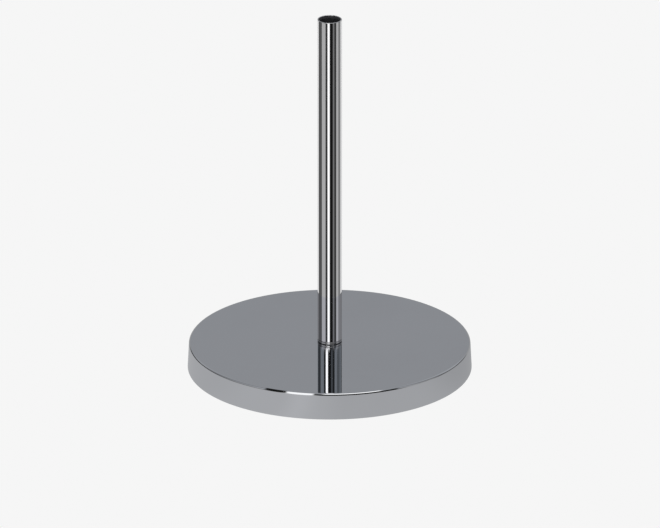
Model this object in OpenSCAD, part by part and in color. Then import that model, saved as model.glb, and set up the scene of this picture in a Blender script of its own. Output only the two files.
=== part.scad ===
// Flag pole stand: a heavy round base carries one upright tube, and the tube's open top takes a flag pole.
// Sizes are in millimetres. The origin is the centre of the face that rests on the floor, and +Z is up.

/* [Stand] */
// Diameter of the base at its lower edge
base_d = 300; // [280:5:340]
// Height of the base's top face above the floor
base_h = 29; // [27:1:36]
// Height of the tube's open rim above the floor
stand_h = 390; // [250:10:900]
// Outside diameter of the upright tube
tube_d = 25.4; // [25:0.1:27]
// Wall thickness of the upright tube
tube_wall = 1.2; // [1:0.1:1.5]

/* [Cover] */
// Sheet thickness of the chromed cover
cover_t = 1.2; // [0.8:0.1:1.5]
// Inward lean of the cover's wall, in degrees
cover_draft = 3; // [1:0.5:5]
// Outside radius of the cover's rounded top edge
cover_edge_r = 2.5; // [2:0.5:4]
// Gap between the cover's lower edge and the floor
skirt_gap = 0.5; // [0.3:0.1:1]

/* [Foot of the tube] */
// Height of the chrome ring that the tube stands on
foot_ring_h = 2; // [1.5:0.5:4]
// Distance by which the foot ring stands proud of the tube, all round
foot_ring_proud = 0.2; // [0.1:0.1:1]
// Height of the narrow shadow gap between the foot ring and the tube
shadow_gap_h = 0.4; // [0.2:0.1:0.8]
// Thickness of the gasket under the foot ring
foot_gasket_t = 0.5; // [0.3:0.1:1]

/* [Underside] */
// Thickness of the rubber ring that the stand rests on
floor_ring_t = 3.5; // [3.5:0.5:5]
// Width of the rubber ring, from its inner to its outer edge
floor_ring_w = 24; // [20:1:30]
// Thickness of the plate that closes the base
plate_t = 1.5; // [1:0.1:2]
// Distance of each plate screw from the middle of the base
screw_ring_r = 90; // [80:1:96]
// Number of plate screws, each with its rib in the ballast
screw_count = 4; // [3:1:6]

/* [Ballast] */
// Gap between the ballast and the cover's wall, at the wall's foot
ballast_gap = 5.5; // [4:0.5:10]
// Depth of the cast relief in the ballast's underside
relief_h = 8; // [4:1:10]

/* [Flag pole socket] */
// Diameter of the flag pole that the stand takes
pole_d = 20; // [18:0.5:20]
// Clearance on the pole's diameter
pole_clearance = 0.5; // [0.3:0.1:0.8]
// Length of the guide bush in the top of the tube
bush_h = 40; // [25:5:60]
// Depth of the cup that the butt of the pole stands in
seat_cup_h = 8; // [4:1:12]

/* [Hidden] */

$fn = 96;
// How far a cutter runs past the face it opens
past = 1;
// Radial clearance between two parts that are pushed or brazed together
push_gap = 0.05;

// M12 centre bolt, with a 28 mm thread, and its washers
m12_r = 6;
m12_pitch = 1.75;
m12_thread_h = 1.07;
m12_hole_r = 6.5;
bolt_head_af = 18;
bolt_head_h = 7.5;
bolt_turns = 16;
thread_gap = 0.12;
spring_washer_r = 10.5;
spring_washer_t = 2.5;
spring_washer_split = 2;
flat_washer_r = 18.5;
flat_washer_t = 3;
washer_hole_r = 6.5;
washer_bevel = 0.4;

// M5 button-head screws that hold the base plate
m5_r = 2.5;
m5_pitch = 0.8;
m5_thread_h = 0.45;
m5_hole_r = 2.75;
m5_turns = 12;
m5_gap = 0.1;
screw_head_r = 4.75;
screw_head_h = 2.75;
screw_socket_af = 3;
screw_socket_h = 1.6;

// Levels, from the floor upwards
plate_z = floor_ring_t;
ballast_z = plate_z + plate_t;
ballast_top_z = base_h - cover_t;
bolt_head_z = plate_z;
spring_washer_z = bolt_head_z + bolt_head_h;
flat_washer_z = spring_washer_z + spring_washer_t;
counterbore_z = flat_washer_z + flat_washer_t;
foot_ring_z = base_h + foot_gasket_t;
foot_ring_top_z = foot_ring_z + foot_ring_h;
tube_z = foot_ring_top_z + shadow_gap_h;
plug_z = tube_z + 0.5;
plug_turns = 17;
plug_top_z = plug_z + plug_turns * m12_pitch;
seat_floor_h = 8;
seat_top_z = plug_top_z + seat_floor_h + seat_cup_h;
bush_top_z = stand_h - 1;

// Radii
base_r = base_d / 2;
tube_r = tube_d / 2;
tube_bore_r = tube_r - tube_wall;
tube_rim_r = 0.35;
shadow_gap_depth = 0.5;
socket_r = (pole_d + pole_clearance) / 2;
counterbore_r = flat_washer_r + 1;
ballast_r = base_r - ballast_gap - cover_t;
ballast_draft = 2;
ballast_edge_r = 4;
plate_r = base_r - cover_t - 2.5;
floor_ring_r = plate_r - 0.5;
relief_in_r = 56;
relief_out_r = 120;
relief_draft = 8;
rib_w = 12;
boss_r = 9;

// Half section of a disc whose wall leans inwards, with its upper edge rounded
module drafted_section(r_low, z_low, z_top, draft, edge_r) {
    centre_z = z_top - edge_r;
    centre_x = r_low - (edge_r + sin(draft) * (centre_z - z_low)) / cos(draft);
    polygon([
        [0, z_low],
        [r_low, z_low],
        [centre_x + edge_r * cos(draft), centre_z + edge_r * sin(draft)],
        [centre_x, centre_z],
        [centre_x, z_top],
        [0, z_top]
    ]);
    translate([centre_x, centre_z]) circle(edge_r);
}

// Rectangle from [r_in, z_low] to [r_out, z_high] with its four corners rounded
module rounded_section(r_in, r_out, z_low, z_high, corner_r) {
    translate([r_in + corner_r, z_low]) square([r_out - r_in - 2 * corner_r, z_high - z_low]);
    translate([r_in, z_low + corner_r]) square([r_out - r_in, z_high - z_low - 2 * corner_r]);
    for (x = [r_in + corner_r, r_out - corner_r], z = [z_low + corner_r, z_high - corner_r])
        translate([x, z]) circle(corner_r);
}

// Ring with bevels of the given size on all four edges
module bevelled_ring(r_in, r_out, z_low, z_high, bevel) {
    rotate_extrude()
        polygon([
            [r_in + bevel, z_low], [r_out - bevel, z_low], [r_out, z_low + bevel],
            [r_out, z_high - bevel], [r_out - bevel, z_high], [r_in + bevel, z_high],
            [r_in, z_high - bevel], [r_in, z_low + bevel]
        ]);
}

// Points of a ring thread's flanks, as [radius, z], from z_low upwards
function thread_points(r_crest, thread_h, pitch, z_low, turns) = [
    for (i = [0 : turns - 1])
        each [[r_crest - thread_h, z_low + i * pitch], [r_crest, z_low + (i + 0.5) * pitch]]
];

// Solid thread, closed by flat ends at its root radius
module thread(r_crest, thread_h, pitch, z_low, turns) {
    z_high = z_low + turns * pitch;
    rotate_extrude()
        polygon(concat(
            [[0, z_low]],
            thread_points(r_crest, thread_h, pitch, z_low, turns),
            [[r_crest - thread_h, z_high], [0, z_high]]
        ));
}

// Straight hexagon across the given flats
module hexagon(across_flats, z_low, h) {
    translate([0, 0, z_low]) cylinder(d = across_flats / cos(30), h = h, $fn = 6);
}

// Puts its children at each plate screw
module at_screws() {
    for (i = [0 : screw_count - 1])
        rotate(45 + i * 360 / screw_count) translate([screw_ring_r, 0, 0]) children();
}

// Pressed steel shell: a flat top, a rounded edge, a leaning wall and a rounded lower lip
module base_cover() {
    lip_r = cover_t / 2;
    lip_z = skirt_gap + lip_r;
    wall_run = cover_t / cos(cover_draft);
    lip_x = base_r - wall_run / 2;
    color("silver")
        rotate_extrude() {
            difference() {
                drafted_section(base_r, lip_z, base_h, cover_draft, cover_edge_r);
                drafted_section(
                    base_r - wall_run + past * tan(cover_draft), lip_z - past,
                    ballast_top_z, cover_draft, cover_edge_r - cover_t
                );
                square([m12_hole_r, base_h + past]);
            }
            translate([lip_x, lip_z]) circle(lip_r);
        }
}

// Relief in the ballast's underside: a ring-shaped hollow, crossed by a rib and a boss at each screw
module ballast_relief() {
    lean = relief_h * tan(relief_draft);
    difference() {
        rotate_extrude()
            polygon([
                [relief_in_r, ballast_z - past],
                [relief_out_r, ballast_z - past],
                [relief_out_r, ballast_z],
                [relief_out_r - lean, ballast_z + relief_h],
                [relief_in_r + lean, ballast_z + relief_h],
                [relief_in_r, ballast_z]
            ]);
        at_screws() {
            rib_l = 2 * (relief_out_r - relief_in_r);
            translate([-rib_l / 2, -rib_w / 2, 0]) cube([rib_l, rib_w, base_h]);
            cylinder(r = boss_r, h = base_h);
        }
    }
}

// Cast iron weight, machined flat on top where the cover lies on it
module ballast_disc() {
    screw_hole_h = m5_turns * m5_pitch + 2;
    color("dimgray")
        difference() {
            rotate_extrude()
                drafted_section(ballast_r, ballast_z, ballast_top_z, ballast_draft, ballast_edge_r);
            ballast_relief();
            translate([0, 0, ballast_z - past])
                cylinder(r = counterbore_r, h = counterbore_z - ballast_z + past);
            cylinder(r = m12_hole_r, h = base_h + past);
            at_screws() translate([0, 0, ballast_z - past])
                cylinder(r = m5_r + m5_gap, h = screw_hole_h + past);
        }
}

// Zinc-plated plate that closes the base, open in the middle for the bolt's spanner
module base_plate() {
    color("lightsteelblue")
        difference() {
            bevelled_ring(counterbore_r, plate_r, plate_z, ballast_z, washer_bevel);
            at_screws() translate([0, 0, plate_z - past]) cylinder(r = m5_hole_r, h = plate_t + 2 * past);
        }
}

// Button-head screw, head down, with a hexagon socket
module plate_screw() {
    head_z = plate_z - screw_head_h;
    dome_r = (screw_head_r ^ 2 + screw_head_h ^ 2) / (2 * screw_head_h);
    difference() {
        union() {
            intersection() {
                translate([0, 0, head_z + dome_r]) sphere(dome_r);
                translate([0, 0, head_z]) cylinder(r = screw_head_r, h = screw_head_h);
            }
            translate([0, 0, plate_z]) cylinder(r = m5_r - m5_thread_h, h = plate_t);
            thread(m5_r - m5_gap, m5_thread_h - m5_gap, m5_pitch, ballast_z, m5_turns);
        }
        hexagon(screw_socket_af, head_z - past, screw_socket_h + past);
    }
}

module plate_screws() {
    color("gainsboro") at_screws() plate_screw();
}

// Rubber ring under the plate, with two grip grooves in the face that meets the floor
module floor_ring() {
    corner_r = 0.8;
    groove_w = 2;
    groove_h = 0.8;
    floor_ring_in_r = floor_ring_r - floor_ring_w;
    color("darkslategray")
        rotate_extrude()
            difference() {
                rounded_section(floor_ring_in_r, floor_ring_r, 0, floor_ring_t, corner_r);
                for (share = [0.3, 0.7])
                    translate([floor_ring_in_r + share * floor_ring_w - groove_w / 2, -past])
                        square([groove_w, groove_h + past]);
            }
}

// M12 hexagon bolt, head down, with a plain shank and a thread that fills the plug
module centre_bolt() {
    thread_z = plug_z - 2 * m12_pitch;
    head_r = bolt_head_af / 2;
    corner_r = head_r / cos(30);
    chamfer_h = (corner_r - head_r) * tan(30);
    color("gainsboro") {
        intersection() {
            hexagon(bolt_head_af, bolt_head_z, bolt_head_h);
            rotate_extrude()
                polygon([
                    [0, bolt_head_z],
                    [head_r, bolt_head_z],
                    [corner_r, bolt_head_z + chamfer_h],
                    [corner_r, spring_washer_z],
                    [0, spring_washer_z]
                ]);
        }
        translate([0, 0, spring_washer_z])
            cylinder(r = m12_r - thread_gap, h = thread_z - spring_washer_z);
        thread(m12_r - thread_gap, m12_thread_h - thread_gap, m12_pitch, thread_z, bolt_turns);
    }
}

// Split spring washer, pressed flat by the bolt
module spring_washer() {
    split_turn = 20;
    color("gray")
        difference() {
            bevelled_ring(
                washer_hole_r, spring_washer_r, spring_washer_z, flat_washer_z, washer_bevel / 2
            );
            translate([spring_washer_r - 2, 0, spring_washer_z + spring_washer_t / 2])
                rotate([split_turn, 0, 0])
                    cube([8, spring_washer_split, 3 * spring_washer_t], center = true);
        }
}

// Wide washer that spreads the bolt's load over the ballast
module flat_washer() {
    color("gainsboro")
        bevelled_ring(washer_hole_r, flat_washer_r, flat_washer_z, counterbore_z, washer_bevel);
}

// Thin dark gasket, a little smaller than the ring above it
module foot_gasket() {
    color("black")
        bevelled_ring(m12_hole_r, tube_r - 0.7, base_h, foot_ring_z, foot_gasket_t / 5);
}

// Chrome ring with a low collar on top, which the tube stands on
module foot_ring() {
    edge_r = foot_ring_h / 4;
    collar_in_r = m12_hole_r + edge_r;
    collar_out_r = tube_r - shadow_gap_depth;
    collar_h = shadow_gap_h + edge_r;
    color("silver")
        rotate_extrude() {
            rounded_section(
                m12_hole_r, tube_r + foot_ring_proud, foot_ring_z, foot_ring_top_z, edge_r
            );
            translate([collar_in_r, tube_z - collar_h])
                square([collar_out_r - collar_in_r, collar_h]);
        }
}

// Chromed tube, open at the top, with rounded rims
module upright_tube() {
    color("silver")
        rotate_extrude() rounded_section(tube_bore_r, tube_r, tube_z, stand_h, tube_rim_r);
}

// Threaded steel insert in the foot of the tube, with a groove for the brazing metal
module tube_plug() {
    plug_r = tube_bore_r - push_gap;
    groove_r = plug_r - 0.6;
    groove_w = 3;
    groove_z = (plug_z + plug_top_z - groove_w) / 2;
    bevel = 0.6;
    color("goldenrod")
        difference() {
            rotate_extrude()
                polygon([
                    [0, plug_z], [plug_r - bevel, plug_z], [plug_r, plug_z + bevel],
                    [plug_r, groove_z], [groove_r, groove_z],
                    [groove_r, groove_z + groove_w], [plug_r, groove_z + groove_w],
                    [plug_r, plug_top_z - bevel], [plug_r - bevel, plug_top_z], [0, plug_top_z]
                ]);
            thread(m12_r, m12_thread_h, m12_pitch, plug_z - m12_pitch, plug_turns + 2);
        }
}

// Rubber cup on the plug, with a lead-in that centres the butt of the pole
module pole_seat() {
    seat_r = tube_bore_r - 0.2;
    seat_bevel = 0.5;
    lead_in_w = (seat_r - socket_r) / 2;
    lead_in_h = 1;
    color("black")
        rotate_extrude()
            polygon([
                [0, plug_top_z], [seat_r - seat_bevel, plug_top_z], [seat_r, plug_top_z + seat_bevel],
                [seat_r, seat_top_z], [socket_r + lead_in_w, seat_top_z],
                [socket_r, seat_top_z - lead_in_h],
                [socket_r, seat_top_z - seat_cup_h], [0, seat_top_z - seat_cup_h]
            ]);
}

// Nylon bush in the top of the tube, bevelled at its mouth
module guide_bush() {
    bush_r = tube_bore_r - push_gap;
    bush_z = bush_top_z - bush_h;
    mouth_w = (bush_r - socket_r) / 2;
    mouth_h = 1.5;
    foot_w = mouth_w / 2;
    foot_h = 0.5;
    color("black")
        rotate_extrude()
            polygon([
                [socket_r + foot_w, bush_z], [bush_r - foot_w, bush_z],
                [bush_r, bush_z + foot_h], [bush_r, bush_top_z],
                [socket_r + mouth_w, bush_top_z], [socket_r, bush_top_z - mouth_h],
                [socket_r, bush_z + foot_h]
            ]);
}

base_cover();
ballast_disc();
base_plate();
plate_screws();
floor_ring();
centre_bolt();
spring_washer();
flat_washer();
foot_gasket();
foot_ring();
upright_tube();
tube_plug();
pole_seat();
guide_bush();
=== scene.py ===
"""Looks of the flag pole stand: mirror chrome over a weighted base, in a pale studio."""

import math

import bpy
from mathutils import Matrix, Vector


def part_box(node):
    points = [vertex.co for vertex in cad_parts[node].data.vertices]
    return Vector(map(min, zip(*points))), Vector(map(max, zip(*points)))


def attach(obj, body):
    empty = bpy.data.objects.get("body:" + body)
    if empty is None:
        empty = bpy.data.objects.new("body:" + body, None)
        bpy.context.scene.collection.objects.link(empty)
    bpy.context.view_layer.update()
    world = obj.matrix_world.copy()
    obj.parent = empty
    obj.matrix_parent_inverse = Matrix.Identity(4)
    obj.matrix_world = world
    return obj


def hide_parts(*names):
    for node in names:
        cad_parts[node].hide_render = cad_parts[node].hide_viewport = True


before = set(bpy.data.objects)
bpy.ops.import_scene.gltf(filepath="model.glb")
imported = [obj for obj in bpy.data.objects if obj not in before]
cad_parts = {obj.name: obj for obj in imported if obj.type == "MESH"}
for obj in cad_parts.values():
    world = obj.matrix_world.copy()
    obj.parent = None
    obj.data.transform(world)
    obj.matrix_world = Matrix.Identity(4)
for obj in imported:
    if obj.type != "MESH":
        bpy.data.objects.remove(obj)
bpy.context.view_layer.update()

MM = 0.001


# ---------------------------------------------------------------- node helpers

class Shader:
    """Short calls for building one node tree. Sockets and plain values can be mixed freely."""

    def __init__(self, tree):
        self.tree = tree
        tree.nodes.clear()

    def node(self, kind, inputs=(), **settings):
        made = self.tree.nodes.new(kind)
        for key, value in settings.items():
            setattr(made, key, value)
        for socket, value in dict(inputs).items():
            self.feed(made.inputs[socket], value)
        return made

    def feed(self, socket, value):
        if isinstance(value, bpy.types.NodeSocket):
            self.tree.links.new(value, socket)
        else:
            socket.default_value = value

    def math(self, operation, *values):
        return self.node("ShaderNodeMath", dict(enumerate(values)), operation=operation).outputs[0]

    def product(self, first, *others):
        """All the values multiplied together."""
        for other in others:
            first = self.math("MULTIPLY", first, other)
        return first

    def length(self, first, second):
        """The long side of a right-angled triangle with these two sides."""
        squares = (self.product(first, first), self.product(second, second))
        return self.math("SQRT", self.math("ADD", *squares))

    def smooth(self, value, start, end, to_low=0.0, to_high=1.0):
        """Goes from to_low to to_high, smoothly, as value goes from start to end."""
        return self.node(
            "ShaderNodeMapRange",
            {"Value": value, "From Min": start, "From Max": end, "To Min": to_low, "To Max": to_high},
            interpolation_type="SMOOTHSTEP",
        ).outputs["Result"]

    def window(self, value, low, high, soft):
        """1 where value lies between low and high. Each edge is 2 * soft wide."""
        rise = self.smooth(value, low - soft, low + soft)
        fall = self.smooth(value, high - soft, high + soft)
        return self.math("SUBTRACT", rise, fall)

    def mix(self, factor, first, second, blend="MIX"):
        made = self.node("ShaderNodeMix", {0: factor}, data_type="RGBA", blend_type=blend)
        self.feed(made.inputs["A"], first)
        self.feed(made.inputs["B"], second)
        return made.outputs["Result"]

    def place(self, scale=(1, 1, 1)):
        """The point's place in the frame, in metres, stretched by scale."""
        here = self.node("ShaderNodeTexCoord").outputs["Object"]
        return self.node("ShaderNodeVectorMath", {0: here, 1: scale}, operation="MULTIPLY").outputs[0]

    def turned_place(self):
        """The point's radius and height only, so that a pattern on it runs round the axis."""
        x, y, z = self.node("ShaderNodeSeparateXYZ", {0: self.place()}).outputs
        return self.node("ShaderNodeCombineXYZ", {0: self.length(x, y), 2: z}).outputs[0]

    def noise(self, scale, place=None, detail=3.0, roughness=0.5):
        where = self.place() if place is None else place
        return self.node(
            "ShaderNodeTexNoise",
            {"Vector": where, "Scale": scale, "Detail": detail, "Roughness": roughness},
        ).outputs[0]

    def bump(self, height, depth, under=None):
        """A normal that follows height, which is worth depth metres from 0 to 1."""
        made = self.node("ShaderNodeBump", {"Height": height, "Distance": depth})
        if under is not None:
            self.feed(made.inputs["Normal"], under)
        return made.outputs[0]


def grey(value):
    return (value, value, value, 1.0)


def tint(red, green, blue):
    return (red, green, blue, 1.0)


# ---------------------------------------------------------------- studio

PALE = 0.921
# Painted shade: the grey that mirrors see of the floor near the stand, darker than the pale floor.
MIRRORED_FLOOR_SHADE = tint(0.447, 0.451, 0.463)
BLACK = 0.01
SOFTBOX_WIDTH = 20


def studio_cards(wall, softbox, dim=1.0):
    """Cards round the object: the azimuth where each starts, and its brightness. Each reaches to the next one.
    Azimuth 0 is straight in front of the stand, positive azimuths to its right. One softbox stands in front, a
    little to the left, between two black flags, with grey walls at both sides and a pale one behind."""
    return [
        (-165, wall), (-130, 0.1 * dim), (-80, 0.5 * dim), (-20 - SOFTBOX_WIDTH, 0.04 * dim),
        (-20, softbox), (-20 + SOFTBOX_WIDTH, BLACK), (30, 0.2 * dim), (45, 0.04 * dim),
        (65, 0.5 * dim), (90, 0.25 * dim), (125, wall), (160, 0.1 * dim),
    ]


# Seen near the horizon, and higher up, where the base's flat top looks. The last calm one is behind the stand.
SKY_CARDS = [
    (-150, 0.05), (-120, 0.08), (-95, 0.16), (-78, 0.22), (-53, 0.03), (-35, 1.15),
    (-13, 0.04), (61, 0.36), (92, 0.10), (138, 0.36),
]
CALM_CARDS = [
    (-150, 0.37), (-122, 0.21), (-92, 0.31), (-64, 0.43), (-34, 0.19),
    (-6, 0.38), (27, 0.16), (50, 0.34), (80, 0.23), (112, 0.41), (145, 0.306),
]
# Wedges overhead for the rounded edge of the base, each by its angle round the first view's line of sight.
OVERHEAD_SPAN = (-5, 42.5)
GAP_SPAN = (-54, -35.5)
LAMP_SPAN = (-35.5, -13)
OVERHEAD_BRIGHTNESS = 1.25
GAP_BRIGHTNESS = 0.012
LAMP_BRIGHTNESS = 1.22
# Cards on the tent for the same edge. They spread sideways with height.
RIM_CARDS = [(-32, 1.2), (-12, BLACK)]
RIM_SPAN = (-49, 52)
RIM_SPREAD = 0.46

# The tent: its size in metres, the height where its upper cards start, and how far they are turned.
TENT_RADIUS = 0.8
TENT_HEIGHT = 0.9
TENT_SPLIT = 0.35
TENT_TURN = 17

# Elevation of the first view, in degrees.
SIGHT = 21.41


def ring_of_cards(s, azimuth, cards, soft=3.0, tone=(1.0, 1.0, 1.0)):
    """The last card reaches on to the first one. The tone colours every card but a softbox."""
    toned = [(start, tint(*(b * part for part in tone)) if b < 1 else grey(b)) for start, b in cards]
    colour = toned[-1][1]
    for start, card in toned:
        colour = s.mix(s.smooth(azimuth, start - soft, start + soft), colour, card)
    return colour


def azimuth_of(s, across, along):
    """Degrees round the axis, from straight in front, positive to the right."""
    return s.math("DEGREES", s.math("ARCTAN2", across, s.math("MULTIPLY", along, -1.0)))


def build_world():
    """Cards round the object, a calm grey sky, and lamp cards overhead for the base's rounded edge."""
    world = bpy.data.worlds.new("studio")
    bpy.context.scene.world = world
    world.use_nodes = True
    s = Shader(world.node_tree)
    direction = s.node("ShaderNodeTexCoord").outputs["Generated"]
    across, along, up = s.node("ShaderNodeSeparateXYZ", {0: direction}).outputs
    azimuth = azimuth_of(s, across, along)
    elevation = s.math("DEGREES", s.math("ARCSINE", up))

    low = ring_of_cards(s, azimuth, studio_cards(PALE, 1.3))
    near_horizon = ring_of_cards(s, azimuth, SKY_CARDS, 7.0)
    calm = ring_of_cards(s, azimuth, CALM_CARDS, 7.0, tone=(1.0, 1.03, 1.09))
    high = s.mix(s.smooth(elevation, 10, 15), near_horizon, calm)
    colour = s.mix(s.smooth(elevation, -18, -15.5), low, high)

    # Wedges overhead. Each is where one stretch of the rounded edge looks from the first view's line of sight:
    # around and tilt are those of the surface that would mirror the wedge into that line.
    sight = math.radians(SIGHT)
    forward = s.math("SUBTRACT", along, math.cos(sight))
    lift = s.math("ADD", up, math.sin(sight))
    around = s.math("MULTIPLY", azimuth_of(s, across, forward), 2.0)
    tilt = s.math("DEGREES", s.math("ARCTAN2", lift, s.length(across, forward)))
    overhead = s.product(s.window(around, *OVERHEAD_SPAN, 3), s.window(tilt, 36, 56.5, 1.5))
    block = s.smooth(elevation, 44, 48)
    gap = s.product(block, s.window(around, *GAP_SPAN, 1.5), s.smooth(tilt, 71, 67))
    lamp = s.product(block, s.window(around, *LAMP_SPAN, 1.5), s.smooth(tilt, 56, 53))
    colour = s.mix(gap, colour, grey(GAP_BRIGHTNESS))
    colour = s.mix(lamp, colour, grey(LAMP_BRIGHTNESS))
    colour = s.mix(overhead, colour, grey(OVERHEAD_BRIGHTNESS))
    colour = s.mix(s.smooth(elevation, -55, -68), colour, grey(0.6))

    direct = s.node("ShaderNodeLightPath").outputs["Is Camera Ray"]
    background = s.node("ShaderNodeBackground", {"Color": s.mix(direct, colour, grey(PALE))})
    s.node("ShaderNodeOutputWorld", {"Surface": background.outputs[0]})


def stage_piece(name, vertices, faces):
    """A piece of the studio, with an empty material that gives no light of its own to matt pieces."""
    mesh = bpy.data.meshes.new(name)
    mesh.from_pydata(vertices, [], faces)
    piece = bpy.data.objects.new(name, mesh)
    bpy.context.scene.collection.objects.link(piece)
    material = bpy.data.materials.new(name)
    material.use_nodes = True
    material.cycles.emission_sampling = "NONE"
    mesh.materials.append(material)
    return Shader(material.node_tree)


def build_tent():
    """Round card tent. Second reflections see it: the tube's foot, and its mirror image in the base.
    First reflections see it only where they start within the base's rounded edge, so the top stays calm."""
    sides = 96
    turns = [2 * math.pi * i / sides for i in range(sides)]
    circle = [(TENT_RADIUS * math.cos(turn), TENT_RADIUS * math.sin(turn)) for turn in turns]
    vertices = [(x, y, z) for z in (0.01, TENT_HEIGHT) for x, y in circle]
    faces = [(i, (i + 1) % sides, sides + (i + 1) % sides, sides + i) for i in range(sides)]
    s = stage_piece("tent", vertices, faces)
    across, along, up = s.node("ShaderNodeSeparateXYZ", {0: s.place()}).outputs
    azimuth = azimuth_of(s, across, along)
    low = ring_of_cards(s, azimuth, studio_cards(0.25, 1.6, 1.1), tone=(1.0, 1.0, 1.05))
    leaning = s.math("ADD", azimuth, TENT_TURN)
    high = ring_of_cards(s, leaning, studio_cards(0.2, 1.6, 0.5), tone=(0.82, 0.90, 1.0))
    slant = s.math("SUBTRACT", 1.0, s.product(s.math("POWER", up, 3.0), RIM_SPREAD))
    slanted = s.product(azimuth, slant)
    rim = ring_of_cards(s, slanted, RIM_CARDS, 1.5)
    path = s.node("ShaderNodeLightPath")
    second = s.math("GREATER_THAN", path.outputs["Ray Depth"], 1.5)
    colour = s.mix(second, rim, s.mix(s.smooth(up, TENT_SPLIT - 0.003, TENT_SPLIT + 0.003), low, high))

    # Level distance that the ray has come, and what it would be from the rounded edge of the base. The angle
    # between where it leaves the edge and where it lands is taken as nearly in proportion to the azimuth.
    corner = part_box("base_cover")[1]
    edge = corner[0] - 4.5 * MM
    rise = s.math("SUBTRACT", up, corner[2])
    length = path.outputs["Ray Length"]
    run = s.math("SQRT", s.math("SUBTRACT", s.product(length, length), s.product(rise, rise)))
    turned = s.math("RADIANS", s.product(s.math("SUBTRACT", azimuth, s.product(slanted, 0.55)), 1.22))
    aside = s.product(s.math("SINE", turned), edge)
    ahead = s.product(s.math("COSINE", turned), edge)
    reach = s.math("SQRT", s.math("SUBTRACT", TENT_RADIUS ** 2, s.product(aside, aside)))
    within = s.math("LESS_THAN", run, s.math("SUBTRACT", reach, ahead))
    from_edge = s.product(within, s.window(slanted, *RIM_SPAN, 1.5), s.smooth(up, 0.09, 0.15))

    either = s.math("MAXIMUM", second, from_edge)
    shown = s.product(either, path.outputs["Is Glossy Ray"], s.smooth(up, 0.86, 0.78))
    cards = s.node("ShaderNodeEmission", {"Color": colour})
    clear = s.node("ShaderNodeBsdfTransparent")
    both = s.node("ShaderNodeMixShader", {0: shown, 1: clear.outputs[0], 2: cards.outputs[0]})
    s.node("ShaderNodeOutputMaterial", {"Surface": both.outputs[0]})


def build_floor():
    """A pale floor without a shadow where seen directly. To mirror rays near the stand it glows a darker grey,
    a painted shade, which the base's wall mirrors as grey. Other mirrors look through it.
    """
    half = 40.0
    corners = [(-half, -half, 0), (half, -half, 0), (half, half, 0), (-half, half, 0)]
    s = stage_piece("floor", corners, [(0, 1, 2, 3)])
    path = s.node("ShaderNodeLightPath")
    across, along, up = s.node("ShaderNodeSeparateXYZ", {0: s.place()}).outputs
    azimuth = azimuth_of(s, across, along)

    # Painted light and shade in the floor's glow to mirrors: lighter by the softbox, duller towards both
    # sides, and even behind.
    painted_light_and_shade = s.product(
        s.smooth(azimuth, -8, 8, 1.04, 0.97),
        s.smooth(azimuth, 45, 85, 1.0, 0.87),
        s.smooth(azimuth, -40, -70, 1.0, 0.945),
    )
    painted_light_and_shade = s.math("ADD", painted_light_and_shade, s.product(s.window(azimuth, -21, -10, 6), 0.09))
    painted_light_and_shade = s.mix(s.smooth(s.math("ABSOLUTE", azimuth), 148, 176), painted_light_and_shade, grey(0.97))
    near = s.smooth(path.outputs["Ray Length"], 0.20, 0.17)

    seen = s.node("ShaderNodeEmission", {"Color": grey(PALE)})
    mirrored = s.node("ShaderNodeEmission", {"Color": MIRRORED_FLOOR_SHADE, "Strength": painted_light_and_shade})
    clear = s.node("ShaderNodeBsdfTransparent")
    glossy = s.node("ShaderNodeMixShader", {0: near, 1: clear.outputs[0], 2: mirrored.outputs[0]})
    above = s.node(
        "ShaderNodeMixShader",
        {0: path.outputs["Is Glossy Ray"], 1: seen.outputs[0], 2: glossy.outputs[0]},
    )
    underside = s.node("ShaderNodeNewGeometry").outputs["Backfacing"]
    both = s.node("ShaderNodeMixShader", {0: underside, 1: above.outputs[0], 2: clear.outputs[0]})
    s.node("ShaderNodeOutputMaterial", {"Surface": both.outputs[0]})


def build_camera():
    elevation = math.radians(SIGHT)
    distance = 10.0
    target = Vector((0.00032, 0, 0.116))
    camera = bpy.data.cameras.new("camera")
    camera.sensor_width = 36
    camera.lens = 518.35
    made = bpy.data.objects.new("camera", camera)
    back = Vector((0, -math.cos(elevation), math.sin(elevation)))
    made.location = target + back * distance
    made.rotation_euler = (math.pi / 2 - elevation, 0, 0)
    bpy.context.scene.collection.objects.link(made)
    bpy.context.scene.camera = made


# ---------------------------------------------------------------- turned pieces

class Outline:
    """Closed outline in the half plane of radius and height, in metres, with the solid to its left."""

    def __init__(self):
        self.spans = []

    def line(self, start, end, steps=1):
        run = (Vector(end) - Vector(start)).normalized()
        facing = Vector((run.y, -run.x))
        points = [Vector(start).lerp(Vector(end), i / steps) for i in range(steps + 1)]
        self.spans.append([(point, facing) for point in points])

    def arc(self, centre, radius, start, end, steps=12):
        """From the angle start to the angle end, in degrees. It bulges outwards where the angle grows."""
        side = 1 if end > start else -1
        span = []
        for i in range(steps + 1):
            angle = math.radians(start + (end - start) * i / steps)
            ray = Vector((math.cos(angle), math.sin(angle)))
            span.append((Vector(centre) + ray * radius, ray * side))
        self.spans.append(span)


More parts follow.
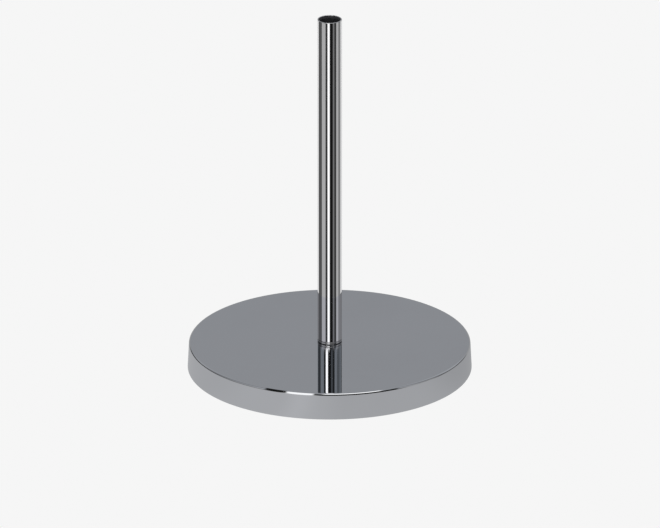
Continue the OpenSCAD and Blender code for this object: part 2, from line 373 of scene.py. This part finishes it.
def lathe(name, outline, around):
    """Turns an outline round the Z axis, with exact normals so that a mirror finish stays clean."""
    rings = [point for span in outline.spans for point, facing in span[:-1]]
    turns = [2 * math.pi * j / around for j in range(around)]
    vertices = [
        (point.x * math.cos(turn), point.x * math.sin(turn), point.y) for point in rings for turn in turns
    ]
    faces, normals = [], []
    low = 0
    for span in outline.spans:
        for (_, first_facing), (_, last_facing) in zip(span, span[1:]):
            high = (low + 1) % len(rings)
            for j in range(around):
                k = (j + 1) % around
                corners = (
                    (low, j, first_facing), (low, k, first_facing),
                    (high, k, last_facing), (high, j, last_facing),
                )
                faces.append([ring * around + turn for ring, turn, facing in corners])
                normals += [
                    (facing.x * math.cos(turns[turn]), facing.x * math.sin(turns[turn]), facing.y)
                    for ring, turn, facing in corners
                ]
            low += 1
    mesh = bpy.data.meshes.new(name)
    mesh.from_pydata(vertices, [], faces, shade_flat=False)
    mesh.normals_split_custom_set(normals)
    piece = bpy.data.objects.new(name, mesh)
    bpy.context.scene.collection.objects.link(piece)
    return piece


def stand_in(piece, node, material):
    """Puts a piece in place of a CAD node, with its material."""
    piece.data.materials.append(material)
    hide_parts(node)
    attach(piece, "root")


SHEET = 1.2 * MM
BOLT_HOLE = 6.5 * MM


def cover_outline():
    """Pressed shell: flat top, rounded edge, wall that leans in by the draft, rounded lower lip."""
    low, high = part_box("base_cover")
    draft = 3.0
    edge = 2.5 * MM
    lean = math.radians(draft)
    lip = SHEET / 2
    lip_centre = (high[0] - lip, low[2] + lip)
    edge_z = high[2] - edge
    drop = edge_z - lip_centre[1]
    edge_x = high[0] - (edge + math.sin(lean) * drop) / math.cos(lean)
    outline = Outline()

    def on_arc(centre, radius, degrees):
        angle = math.radians(degrees)
        return (centre[0] + radius * math.cos(angle), centre[1] + radius * math.sin(angle))

    inner = edge - SHEET
    edge_centre = (edge_x, edge_z)
    outline.line((BOLT_HOLE, high[2] - SHEET), (edge_x, high[2] - SHEET), 8)
    outline.arc(edge_centre, inner, 90, draft, 8)
    outline.line(on_arc(edge_centre, inner, draft), on_arc(lip_centre, lip, 180 + draft), 4)
    outline.arc(lip_centre, lip, 180 + draft, 360 + draft, 12)
    outline.line(on_arc(lip_centre, lip, draft), on_arc(edge_centre, edge, draft), 6)
    outline.arc(edge_centre, edge, draft, 90, 24)
    outline.line((edge_x, high[2]), (BOLT_HOLE, high[2]), 12)
    outline.line((BOLT_HOLE, high[2]), (BOLT_HOLE, high[2] - SHEET))
    return outline


def tube_outline():
    """Tube wall with a small round on all four rims."""
    low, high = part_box("upright_tube")
    rim = 0.35 * MM
    inner, outer = high[0] - SHEET, high[0]
    bottom, top = low[2], high[2]
    outline = Outline()
    outline.line((inner + rim, bottom), (outer - rim, bottom))
    outline.arc((outer - rim, bottom + rim), rim, -90, 0, 8)
    outline.line((outer, bottom + rim), (outer, top - rim), 24)
    outline.arc((outer - rim, top - rim), rim, 0, 90, 8)
    outline.line((outer - rim, top), (inner + rim, top))
    outline.arc((inner + rim, top - rim), rim, 90, 180, 8)
    outline.line((inner, top - rim), (inner, bottom + rim), 24)
    outline.arc((inner + rim, bottom + rim), rim, 180, 270, 8)
    return outline


def ring_outline():
    """Low ring with rounded edges and a collar that leaves a shadow gap under the tube."""
    low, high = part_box("foot_ring")
    gap = 0.4 * MM
    tube_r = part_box("upright_tube")[1][0]
    collar_r = tube_r - 0.5 * MM
    bottom, top = low[2], high[2] - gap
    edge = (top - bottom) / 4
    inner, outer = BOLT_HOLE, high[0]
    outline = Outline()
    outline.line((inner + edge, bottom), (outer - edge, bottom))
    outline.arc((outer - edge, bottom + edge), edge, -90, 0, 8)
    outline.line((outer, bottom + edge), (outer, top - edge))
    outline.arc((outer - edge, top - edge), edge, 0, 90, 8)
    outline.line((outer - edge, top), (collar_r, top))
    outline.line((collar_r, top), (collar_r, high[2]))
    outline.line((collar_r, high[2]), (inner + edge, high[2]))
    outline.line((inner + edge, high[2]), (inner + edge, top))
    outline.arc((inner + edge, top - edge), edge, 90, 180, 8)
    outline.line((inner, top - edge), (inner, bottom + edge))
    outline.arc((inner + edge, bottom + edge), edge, 180, 270, 8)
    return outline


# ---------------------------------------------------------------- materials

def principled(name, build):
    """A material whose Principled inputs come from build(shader), which returns them by name."""
    material = bpy.data.materials.new(name)
    material.use_nodes = True
    s = Shader(material.node_tree)
    shader = s.node("ShaderNodeBsdfPrincipled", build(s))
    s.node("ShaderNodeOutputMaterial", {"Surface": shader.outputs[0]})
    return material


def chrome(name, colour, waves, wave_scale, marks_place, painted_foot_shade=None):
    """Mirror chrome: slow waves in the plate, polishing marks, and a faint haze of wiped dust.
    Its colour is darker, a painted shade, from the first to the second height given: the seam at the tube's
    foot and the ring under it."""
    def build(s):
        haze = s.smooth(s.noise(9.0, detail=5.0), 0.45, 0.75)
        marks = s.noise(2600.0, marks_place(s), detail=2.0)
        slow = s.bump(s.noise(1.0, s.place(wave_scale), detail=1.0), waves)
        shade = s.mix(haze, tint(*colour), tint(*(0.975 * c for c in colour)))
        if painted_foot_shade is not None:
            # Painted shade: below the given heights the colour darkens to 0.64 of the chrome's, for the shade
            # in the seam.
            height = s.node("ShaderNodeSeparateXYZ", {0: s.place()}).outputs[2]
            shade = s.mix(s.smooth(height, *painted_foot_shade), shade, tint(*(0.64 * c for c in colour)))
        rough = s.math("ADD", s.smooth(haze, 0.0, 1.0, 0.022, 0.05), s.math("MULTIPLY", marks, 0.008))
        return {"Base Color": shade, "Metallic": 1.0, "Roughness": rough, "Normal": s.bump(marks, 6e-9, slow)}
    return principled(name, build)


def bare_metal(name, colour, stain, rough, turned=True):
    """Machined or plated steel: tool marks round the axis, and a stain that comes and goes."""
    def build(s):
        marks = s.noise(3500.0, s.turned_place() if turned else s.place((1, 1, 0.2)), detail=3.0)
        patches = s.smooth(s.noise(140.0, detail=4.0), 0.4, 0.7)
        shade = s.mix(patches, tint(*colour), tint(*stain))
        gloss = s.math("ADD", s.smooth(patches, 0.0, 1.0, rough, rough + 0.14), s.math("MULTIPLY", marks, 0.1))
        return {"Base Color": shade, "Metallic": 1.0, "Roughness": gloss, "Normal": s.bump(marks, 6e-6)}
    return principled(name, build)


def cast_iron(name):
    """Thin black primer over sand-cast skin, with a little rust bleeding through it."""
    def build(s):
        skin = s.noise(700.0, detail=5.0, roughness=0.62)
        pits = s.smooth(s.noise(210.0, detail=2.0), 0.30, 0.45)
        rust = s.smooth(s.noise(45.0, detail=6.0, roughness=0.65), 0.60, 0.72)
        primer = s.mix(skin, tint(0.085, 0.085, 0.087), tint(0.15, 0.15, 0.15))
        shade = s.mix(s.math("MULTIPLY", rust, 0.55), primer, tint(0.20, 0.085, 0.04))
        relief = s.math("ADD", s.math("MULTIPLY", pits, 0.6), s.math("MULTIPLY", skin, 0.4))
        return {
            "Base Color": shade,
            "Metallic": 0.0,
            "Roughness": s.smooth(skin, 0.3, 0.7, 0.5, 0.78),
            "Normal": s.bump(relief, 2.5e-4),
        }
    return principled(name, build)


def zinc_sheet(name):
    """Zinc plate with a faint spangle and fine scuffs."""
    def build(s):
        warp = s.noise(70.0, detail=2.0)
        where = s.node("ShaderNodeVectorMath", {0: s.place(), 1: (0.012, 0.012, 0.012)}, operation="ADD")
        cells = s.node("ShaderNodeTexVoronoi", {"Vector": where.outputs[0], "Scale": 95.0, "Randomness": 1.0})
        spangle = s.node("ShaderNodeSeparateColor", {0: cells.outputs["Color"]}).outputs[0]
        scuffs = s.noise(240.0, s.place((1.0, 9.0, 1.0)), detail=4.0, roughness=0.7)
        shade = s.mix(spangle, tint(0.57, 0.59, 0.61), tint(0.66, 0.68, 0.70))
        shade = s.mix(s.smooth(warp, 0.62, 0.8, 0.0, 0.35), shade, tint(0.50, 0.50, 0.49))
        rough = s.math("ADD", s.smooth(spangle, 0.0, 1.0, 0.30, 0.42), s.smooth(scuffs, 0.5, 0.8, 0.0, 0.12))
        return {"Base Color": shade, "Metallic": 1.0, "Roughness": rough, "Normal": s.bump(scuffs, 1.5e-5)}
    return principled(name, build)


def rubber(name, dark, dusty, dust_scale):
    """Matt moulded rubber: fine grain, and dust that settles in patches."""
    def build(s):
        grain = s.noise(2400.0, detail=3.0, roughness=0.6)
        dust = s.smooth(s.noise(dust_scale, detail=6.0, roughness=0.6), 0.48, 0.75)
        shade = s.mix(s.math("MULTIPLY", dust, 0.7), tint(*dark), tint(*dusty))
        return {
            "Base Color": shade,
            "Metallic": 0.0,
            "Roughness": s.smooth(dust, 0.0, 1.0, 0.66, 0.9),
            "Normal": s.bump(grain, 5e-5),
        }
    return principled(name, build)


def turned_plastic(name, colour, worn, rough):
    """Plastic with fine rings from the tool and a few paler rubbed places."""
    def build(s):
        rings = s.noise(2200.0, s.turned_place(), detail=2.0)
        rubbed = s.smooth(s.noise(90.0, detail=5.0), 0.52, 0.75)
        shade = s.mix(rubbed, tint(*colour), tint(*worn))
        gloss = s.math("ADD", s.smooth(rubbed, 0.0, 1.0, rough, rough - 0.1), s.math("MULTIPLY", rings, 0.08))
        return {"Base Color": shade, "Metallic": 0.0, "Roughness": gloss, "Normal": s.bump(rings, 1.2e-5)}
    return principled(name, build)


def plug_steel(name):
    """Turned steel with a brass-coloured fillet of braze at its foot."""
    def build(s):
        rings = s.noise(3000.0, s.turned_place(), detail=3.0)
        x, y, z = s.node("ShaderNodeSeparateXYZ", {0: s.place()}).outputs
        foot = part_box("tube_plug")[0][2]
        wander = s.math("MULTIPLY", s.noise(160.0, detail=2.0), 0.004)
        braze = s.smooth(s.math("SUBTRACT", z, wander), foot + 0.003, foot)
        shade = s.mix(s.noise(120.0, detail=4.0), tint(0.44, 0.43, 0.42), tint(0.56, 0.55, 0.52))
        shade = s.mix(braze, shade, tint(0.72, 0.53, 0.25))
        rough = s.math("ADD", s.smooth(braze, 0.0, 1.0, 0.34, 0.28), s.math("MULTIPLY", rings, 0.1))
        return {"Base Color": shade, "Metallic": 1.0, "Roughness": rough, "Normal": s.bump(rings, 8e-6)}
    return principled(name, build)


def dress(node, material):
    """Gives a CAD node a material in all its slots."""
    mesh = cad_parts[node].data
    mesh.materials.clear()
    mesh.materials.append(material)


# ---------------------------------------------------------------- the scene

bpy.context.scene.view_settings.view_transform = "Standard"
build_camera()
build_world()
build_tent()
build_floor()

cover_chrome = chrome("cover_chrome", (0.78, 0.79, 0.81), 1.2e-5, (11, 11, 11), Shader.turned_place)
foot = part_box("upright_tube")[0][2]
# Painted shade in the colour: darker from 1.1 mm above the tube's foot downwards, and fully on the ring under
# it.
tube_chrome = chrome(
    "tube_chrome", (0.79, 0.79, 0.80), 1.5e-5, (30, 30, 7), lambda s: s.place((1, 1, 0.01)),
    painted_foot_shade=(foot + 1.1 * MM, foot),
)
stand_in(lathe("cover_shell", cover_outline(), 360), "base_cover", cover_chrome)
stand_in(lathe("tube_wall", tube_outline(), 192), "upright_tube", tube_chrome)
stand_in(lathe("tube_foot", ring_outline(), 192), "foot_ring", tube_chrome)

bolt_steel = bare_metal("bolt_steel", (0.64, 0.65, 0.66), (0.56, 0.56, 0.52), 0.28)
dress("ballast_disc", cast_iron("cast_iron"))
dress("base_plate", zinc_sheet("zinc_sheet"))
dress("plate_screws", bare_metal("screw_steel", (0.66, 0.66, 0.64), (0.57, 0.55, 0.47), 0.24, turned=False))
dress("floor_ring", rubber("floor_rubber", (0.035, 0.035, 0.037), (0.10, 0.097, 0.09), 60.0))
dress("centre_bolt", bolt_steel)
dress("spring_washer", bare_metal("spring_steel", (0.42, 0.42, 0.43), (0.30, 0.27, 0.22), 0.32))
dress("flat_washer", bolt_steel)
dress("foot_gasket", turned_plastic("gasket_plastic", (0.045, 0.045, 0.045), (0.07, 0.07, 0.07), 0.6))
dress("tube_plug", plug_steel("plug_steel"))
dress("pole_seat", rubber("seat_rubber", (0.04, 0.04, 0.042), (0.09, 0.088, 0.085), 180.0))
dress("guide_bush", turned_plastic("bush_nylon", (0.055, 0.055, 0.06), (0.10, 0.10, 0.105), 0.5))
